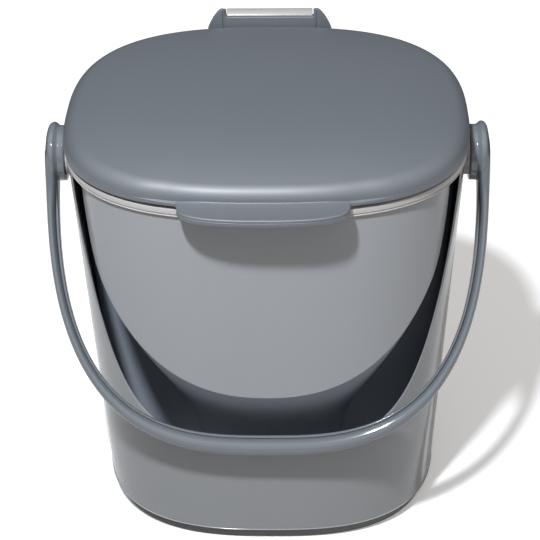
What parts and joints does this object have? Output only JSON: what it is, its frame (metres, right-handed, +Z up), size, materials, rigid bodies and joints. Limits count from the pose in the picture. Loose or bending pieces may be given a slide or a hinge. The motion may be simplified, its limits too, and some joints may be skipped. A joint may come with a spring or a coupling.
{
  "type": "compost caddy with hinged lid",
  "caption": "Grey kitchen compost caddy with a domed hinged lid, thumb tab, pale rim collar and a bail handle resting on its scooped front.",
  "frame": {"origin": "centre of the foot ring's underside, on the surface it stands on", "axes": "+Z up, front with the thumb tab towards -Y, lid hinge towards +Y, X along both joint axes"},
  "size_m": [0.2508, 0.2192, 0.2568],
  "materials": {
    "shell_plastic": "satin-gloss mid grey",
    "pail_plastic": "satin-gloss mid grey",
    "pale_plastic": "satin pale grey",
    "foot_rubber": "matt dark grey",
    "seal_rubber": "matt dark grey",
    "lid_plastic": "fine satin blue-grey",
    "handle_plastic": "glossy grey",
    "pin_steel": "plain turned"
  },
  "bodies": {
    "body": {"outer_shell": "shell_plastic", "inner_pail": "pail_plastic", "rim_collar": "pale_plastic", "base_plate": "shell_plastic", "foot_ring": "foot_rubber", "pivot_pin_left": "pin_steel", "pivot_pin_right": "pin_steel", "pivot_boss_left": "shell_plastic", "pivot_boss_right": "shell_plastic", "pivot_washer_left": "pale_plastic", "pivot_washer_right": "pale_plastic"},
    "lid": {"hinge_pin": "pin_steel", "lid_bracket": "lid_plastic", "lid_shell": "lid_plastic", "thumb_tab": "lid_plastic", "lid_liner": "pale_plastic", "lid_seal": "seal_rubber"},
    "handle": {"handle_bail": "handle_plastic", "hub_cap_left": "handle_plastic", "hub_cap_right": "handle_plastic"}
  },
  "joints": [
    {"name": "lid_hinge", "type": "hinge", "parent": "body", "child": "lid", "pos_m": [0, 0.102, 0.249], "axis": [-1, 0, 0], "range_deg": [0, 105]},
    {"name": "handle_swing", "type": "hinge", "parent": "body", "child": "handle", "pos_m": [0, 0, 0.2135], "axis": [-1, 0, 0], "range_deg": [0, 288.8]}
  ]
}
